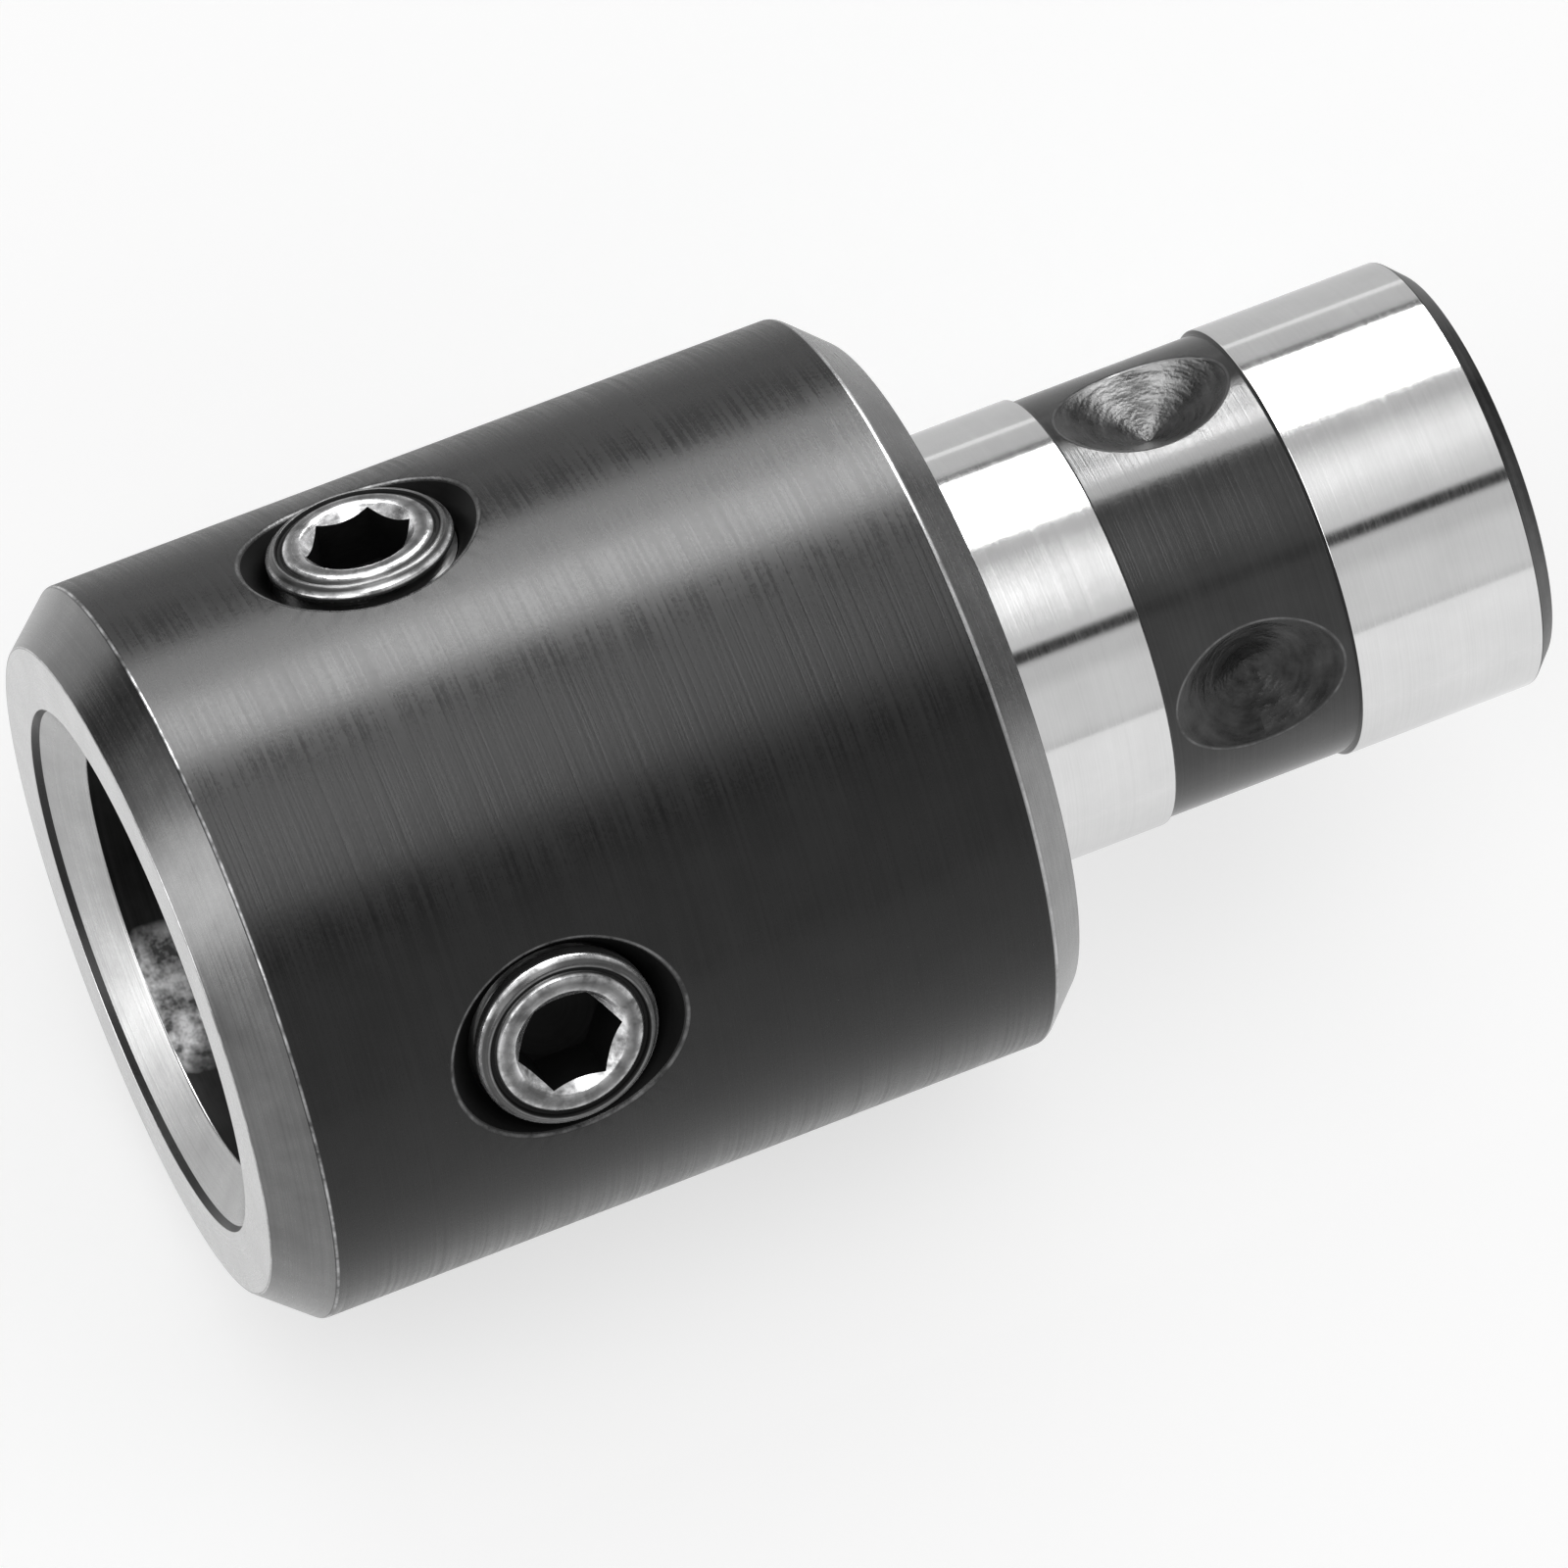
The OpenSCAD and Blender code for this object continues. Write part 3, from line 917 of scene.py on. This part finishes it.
def make_screw(name):
    """A set screw in its own frame: u, v across and h along its axis, from the holder's axis."""
    surface = Surface()
    count = AROUND_SCREW
    angles = [2 * math.pi * j / count for j in range(count)]

    def ring(radii, heights, wear=0.0):
        radii = [radii] * count if np.isscalar(radii) else radii
        heights = [heights] * count if np.isscalar(heights) else heights
        return surface.add(
            [(r * math.cos(a), r * math.sin(a), h) for a, r, h in zip(angles, radii, heights)],
            None,
            wear,
        )

    def place(u, v, h):
        return np.array([u, v, h])

    thread_top = SCREW_TOP - SCREW_TOP_RINGS[0][1] * MM
    thread_fade = 0.4 * MM

    def radius_at(height, angle, low):
        phase = height / PITCH - angle / (2 * math.pi)
        depth = min(thread_profile(phase), SCREW_THREAD_DEPTH)
        fade = smooth_step((thread_top - height) / thread_fade)
        return min(THREAD_R - depth * fade, SCREW_TIP_R + (height - SCREW_TIP))

    thread_rows(surface, radius_at, lambda a: SCREW_TIP, thread_top, count, "steel", False, place)
    rings = [ring(r * MM, SCREW_TOP - depth * MM, wear) for r, depth, wear, _ in SCREW_TOP_RINGS]
    for a, b, (*_, zone) in zip(rings, rings[1:], SCREW_TOP_RINGS):
        surface.strip(a, b, zone)
    # The socket: a cone down to the hexagon, its flats, and a drilled floor
    hexagon = []
    for a in angles:
        from_flat = (a % (math.pi / 3)) - math.pi / 6
        hexagon.append(SOCKET_AF / 2 / math.cos(from_flat))
    lead_r, lead_depth = (size * MM for size in SCREW_TOP_RINGS[-1][:2])
    meet = [SCREW_TOP - lead_depth - (lead_r - r) * SOCKET_LEAD_SLOPE for r in hexagon]
    edge_ring = ring(hexagon, meet, 0.9)
    surface.strip(rings[-1], edge_ring, "steel")
    floor_h = SCREW_TOP - SOCKET_DEPTH
    floor_ring = ring(hexagon, floor_h)
    surface.strip(edge_ring, floor_ring, "socket")
    drill_ring = ring(SOCKET_DRILL_R, floor_h)
    surface.strip(floor_ring, drill_ring, "socket")
    tip = surface.add([(0, 0, floor_h - SOCKET_DRILL_POINT)])
    surface.fan(drill_ring, tip[0], "socket")
    # The tip: a flat ring, and the hole that the thrust pad's spigot turns in
    rings = [ring([radius_at(SCREW_TIP, a, 0) for a in angles], SCREW_TIP)]
    rings.append(ring(SPIGOT_HOLE_R + SPIGOT_HOLE_LEAD, SCREW_TIP))
    rings.append(ring(SPIGOT_HOLE_R, SCREW_TIP + SPIGOT_HOLE_LEAD))
    rings.append(ring(SPIGOT_HOLE_R, SCREW_TIP + SPIGOT_HOLE_L))
    for a, b in zip(rings, rings[1:]):
        surface.strip(b, a, "steel")
    end = surface.add([(0, 0, SCREW_TIP + SPIGOT_HOLE_L)])
    surface.fan(rings[-1][::-1], end[0], "steel")
    # the groove and the socket take the painted shade
    zones = {"steel": screw_steel, "groove": socket_steel, "socket": socket_steel}
    piece = surface.build("set_screw_" + name, zones, smooth_angle=math.radians(42))
    piece.matrix_world = screw_frames[name].matrix()
    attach(piece, name + "_screw")
    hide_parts("clamp_screw_" + name)


def make_pad(name):
    """The brass pad under a screw's tip, with the spigot that turns in it."""
    surface = Surface()
    gap = 0.03 * MM
    pad_l = 0.77 * MM
    pad_r = 2.8 * MM
    chamfer = 0.3 * MM
    spigot_r = 1.4 * MM
    spigot_l = 0.8 * MM
    edge = 0.08 * MM
    pad_top = SCREW_TIP - gap
    pad_foot = pad_top - pad_l
    spigot_top = pad_top + spigot_l
    corners = [
        (pad_foot, 0.0, 0.0, "brass", ()),
        (pad_foot, pad_r - chamfer, edge, "brass", ()),
        (pad_foot + chamfer, pad_r, edge, "brass", ()),
        (pad_top, pad_r, edge, "brass", ()),
        (pad_top, spigot_r, edge, "brass", ()),
        (spigot_top, spigot_r, edge, "brass", ()),
        (spigot_top, 0.0, 0.0, "brass", ()),
    ]
    lathe(surface, rounded_profile(corners, closed=False), around=72)
    piece = surface.build("thrust_pad_brass_" + name, {"brass": brass})
    # the lathe turns about X, and a pad's axis is its frame's h
    turn = Matrix(((0, 0, -1, 0), (0, 1, 0, 0), (1, 0, 0, 0), (0, 0, 0, 1)))
    piece.data.transform(turn)
    piece.matrix_world = screw_frames[name].matrix()
    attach(piece, name + "_pad")
    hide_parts("thrust_pad_" + name)


for screw_name in SCREW_NAMES:
    make_screw(screw_name)
    make_pad(screw_name)

# ---------------------------------------------------------------- the ejector


def make_plunger():
    """Boss, collar, spring locator and stem, drilled through for coolant."""
    low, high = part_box("ejector_plunger")
    gap = 0.03 * MM
    collar_x = GROOVE_X + GROOVE_W + gap
    collar_end = collar_x + 2 * MM
    locator_end = collar_end + 2.2 * MM
    boss_r, collar_r, locator_r, stem_r = 2.7 * MM, 5.45 * MM, 3.95 * MM, 2.3 * MM
    coolant_r, cup_r = 0.8 * MM, 1.7 * MM
    fine, edge, broad, nose = 0.05 * MM, 0.12 * MM, 0.3 * MM, 0.35 * MM
    corners = [
        (low.x, cup_r, edge, "steel", ()),
        (low.x, boss_r, nose, "steel", ()),
        (collar_x, boss_r, edge, "steel", ()),
        (collar_x, collar_r, edge, "steel", ()),
        (collar_end, collar_r, edge, "steel", ()),
        (collar_end, locator_r, edge, "steel", ()),
        (locator_end, locator_r, broad, "steel", ()),
        (locator_end, stem_r, edge, "steel", ()),
        (high.x, stem_r, nose, "steel", ()),
        (high.x, coolant_r, edge, "steel", ()),
        (low.x + cup_r - coolant_r, coolant_r, fine, "steel", ()),
    ]
    surface = Surface()
    lathe(surface, rounded_profile(corners, closed=True), around=96, closed=True)
    piece = surface.build("ejector_pin", {"steel": plunger_steel})
    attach(piece, "ejector")
    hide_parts("ejector_plunger")


def make_spring():
    """A round wire wound with closed ends, flattened by the ejector as it goes back."""
    low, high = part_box("ejector_spring")
    wire_r = 0.5 * MM
    coil_r = high.y - wire_r
    turns, closed_turns, steps, sides = 7, 1, 40, 16
    open_turns = turns - 2 * closed_turns
    length = high.x - low.x
    open_pitch = (length - 2 * wire_r * (1 + 2 * closed_turns)) / open_turns
    surface = Surface()
    rings = []
    for i in range(turns * steps + 1):
        turn = i / steps
        in_open = min(max(turn - closed_turns, 0), open_turns)
        x = low.x + wire_r + 2 * wire_r * (turn - in_open) + open_pitch * in_open
        clock = 2 * math.pi * turn
        ring = []
        for j in range(sides):
            round_wire = 2 * math.pi * j / sides
            reach = coil_r + wire_r * math.cos(round_wire)
            along = x + wire_r * math.sin(round_wire)
            ring.append((along, reach * math.cos(clock), reach * math.sin(clock)))
        rings.append(surface.add(ring))
    surface.chain(rings, "steel")
    surface.cap(rings[0][::-1], "steel")
    surface.cap(rings[-1], "steel")
    piece = surface.build("coil_spring", {"steel": spring_steel}, smooth_angle=math.radians(50))
    # the strips and both ends face into the wire until they are flipped
    piece.data.flip_normals()
    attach(piece, "holder")
    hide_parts("ejector_spring")
    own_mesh(piece)


def finish_ring():
    """The retaining ring is its CAD node, with a material and softened edges."""
    ring = frame["nodes"]["retaining_ring"]
    for slot in ring.material_slots:
        slot.material = ring_steel
    bevel = ring.modifiers.new("edges", "BEVEL")
    bevel.width = 0.06 * MM
    bevel.segments = 2
    bevel.limit_method = "ANGLE"
    bevel.angle_limit = math.radians(40)


make_plunger()
make_spring()
finish_ring()

# ---------------------------------------------------------------- floor, light and camera


def clock_direction(clock):
    """A unit vector across the axis, at a clock angle in degrees."""
    return Vector((0, -math.cos(math.radians(clock)), math.sin(math.radians(clock))))


# A reflected ray leaves the level cylinder this much towards +X for each metre that it goes out
LEAN = math.tan(math.radians(11.7))


def area_light(name, centre, facing, along, length, width, radiance):
    """A soft box that only reflections see, so that it casts no shadow on the floor."""
    light = bpy.data.lights.new(name, "AREA")
    light.shape = "RECTANGLE"
    light.size = length
    light.size_y = width
    light.energy = radiance * math.pi * length * width
    lamp = add_object(name, light)
    back = -facing.normalized()
    side = back.cross(along).normalized()
    axes = Matrix((side.cross(back), side, back)).transposed().to_4x4()
    lamp.matrix_world = Matrix.Translation(centre) @ axes
    lamp.visible_diffuse = False
    lamp.visible_camera = False


def strip_light(name, clock_from, clock_to, distance, length, radiance, shift):
    """A soft box along the holder, between two clock angles as seen from its axis.

    Shift moves it along X from the middle of its reflection.
    """
    out = clock_direction((clock_from + clock_to) / 2)
    half = math.radians(clock_to - clock_from) / 2
    centre = out * distance + Vector((LEAN * distance + shift, 0, 0))
    width = 2 * distance * math.tan(half)
    area_light(name, centre, -out, Vector((1, 0, 0)), length, width, radiance)


def make_card(name, points, shade=None):
    """A card that only reflections see: nearly black, or glowing along Y by two (y, glow)."""
    mesh = bpy.data.meshes.new(name)
    mesh.from_pydata(points, [], [(0, 1, 2, 3)])
    material = bpy.data.materials.new(name)
    material.use_nodes = True
    shader = material.node_tree.nodes["Principled BSDF"]
    shader.inputs["Base Color"].default_value = (0.02, 0.02, 0.02, 1)
    if shade:
        n = Nodes(material.node_tree)
        (y_from, glow_from), (y_to, glow_to) = shade
        _, y, _ = n.place()[1]
        shader.inputs["Emission Color"].default_value = (1, 1, 1, 1)
        n.link(n.spread(y, y_from, y_to, glow_from, glow_to), shader.inputs["Emission Strength"])
    mesh.materials.append(material)
    piece = add_object(name, mesh)
    piece.visible_camera = False
    piece.visible_shadow = False
    piece.visible_diffuse = False


def make_cards():
    """Dark cards beside the mouth and the shank's end, and a grey one that shades the floor."""
    low = cad_bounds[0][2]
    x, height = FRONT_X - 0.085, 0.05
    near, far = (x - 0.017, 0.068), (x + 0.017, 0.102)
    make_card("front_flag", [(*near, low), (*far, low), (*far, height), (*near, height)])
    near, far, height = (0.11, -0.03), (0.11, 0.07), 0.008
    make_card("end_flag", [(*near, low), (*far, low), (*far, height), (*near, height)])
    left, right, near, far, height = -0.032, 0.15, -0.022, 0.3, low + 0.1 * MM
    corners = [(left, near, height), (right, near, height), (right, far, height), (left, far, height)]
    make_card("floor_shade", corners, ((near, 0.9), (0.03, 0.3)))


def make_floor():
    """A pale, softly lit table."""
    size = 4.0
    z = cad_bounds[0][2]
    corners = [(-size, -size, z), (size, -size, z), (size, size, z), (-size, size, z)]
    mesh = bpy.data.meshes.new("floor")
    mesh.from_pydata(corners, [], [(0, 1, 2, 3)])
    material = bpy.data.materials.new("floor")
    material.use_nodes = True
    shader = material.node_tree.nodes["Principled BSDF"]
    shader.inputs["Base Color"].default_value = (0.5, 0.5, 0.5, 1)
    shader.inputs["Roughness"].default_value = 0.9
    shader.inputs["Specular IOR Level"].default_value = 0.1
    shader.inputs["Emission Color"].default_value = (1, 1, 1, 1)
    shader.inputs["Emission Strength"].default_value = 0.63
    mesh.materials.append(material)
    piece = add_object("floor", mesh)


# The studio's brightness by clock angle round the holder, from the floor's edge over the top
STUDIO = (
    (-180, 0.6),
    (-3, 0.6),
    (6, 0.77),
    (30, 0.77),
    (38, 0.64),
    (47.5, 0.66),
    (48.5, 0.04),
    (54.5, 0.04),
    (55.5, 0.72),
    (62, 0.76),
    (70, 0.89),
    (78, 1.1),
    (86, 1.1),
    (94, 0.85),
    (102, 0.55),
    (156.5, 0.5),
    (157.5, 0.16),
    (162, 0.16),
    (163, 0.5),
    (166, 0.6),
    (180, 0.65),
)


def make_world():
    """Long soft stripes of light and shade beside the holder."""
    world = bpy.data.worlds.new("studio")
    world.use_nodes = True
    n = Nodes(world.node_tree)
    _, y, z = n.split(n.new("ShaderNodeTexCoord").outputs["Generated"])
    clock = n.math("ARCTAN2", z, n.math("MULTIPLY", y, -1.0))
    ramp = n.new("ShaderNodeValToRGB")
    n.link(n.spread(clock, -math.pi, math.pi, 0.0, 1.0), ramp.inputs["Fac"])
    elements = ramp.color_ramp.elements
    highest = max(level for _, level in STUDIO)
    for i, (degrees, level) in enumerate(STUDIO):
        place = degrees / 360 + 0.5
        element = elements[i] if i < 1 else elements.new(place) if i < len(STUDIO) - 1 else elements[-1]
        element.position = place
        element.color = (level / highest,) * 3 + (1.0,)
    background = world.node_tree.nodes["Background"]
    n.link(ramp.outputs["Color"], background.inputs["Color"])
    background.inputs["Strength"].default_value = highest
    bpy.context.scene.world = world


def make_camera():
    """The camera looks down at the level holder, from in front of its mouth."""
    azimuth = math.radians(-23.76)
    elevation = math.radians(59.73)
    distance = 600 * MM
    aim = Vector((-9.0, -4.65, 3.9)) * MM
    flat = math.cos(elevation)
    back = Vector((math.sin(azimuth) * flat, -math.cos(azimuth) * flat, math.sin(elevation)))
    camera = bpy.data.cameras.new("camera")
    camera.sensor_width = 36
    camera.lens = 333
    camera.clip_end = 50
    piece = add_object("camera", camera)
    piece.location = aim + back * distance
    piece.rotation_euler = back.to_track_quat("Z", "Y").to_euler()
    bpy.context.scene.camera = piece


# Soft boxes along the holder: name, clock from and to, distance, length, radiance and shift
STRIPS = (
    ("key_box", 114, 134, 0.7, 0.9, 15.0, 0.0),
    ("key_spill", 134, 156, 0.7, 0.9, 5.5, 0.0),
    ("body_fill", 64, 102, 0.7, 0.3, 4.0, -0.165),
    ("band_key", 123, 148, 0.12, 0.007, 34.0, 0.0152),
)


def make_lights():
    """The soft boxes along the holder, two in front of its mouth and one over the near side."""
    for strip in STRIPS:
        strip_light(*strip)
    towards_mouth = Vector((1, 0, 0))
    level = Vector((0, 1, 0))
    high = Vector((FRONT_X - 0.15, 0.002, 0.05))
    area_light("mouth_panel", high, towards_mouth, level, 0.08, 0.13, 2.2)
    low = Vector((FRONT_X - 0.055, 0.015, -0.002))
    area_light("mouth_fill", low, towards_mouth, level, 0.036, 0.028, 2.2)
    fill_out = (clock_direction(55) - Vector((0.75, 0, 0))).normalized()
    area_light("fill_panel", fill_out * 0.5, -fill_out, level, 0.24, 0.2, 3.0)


make_floor()
make_cards()
make_world()
make_lights()
make_camera()

view = bpy.context.scene.view_settings
view.view_transform = "Standard"
view.look = "None"
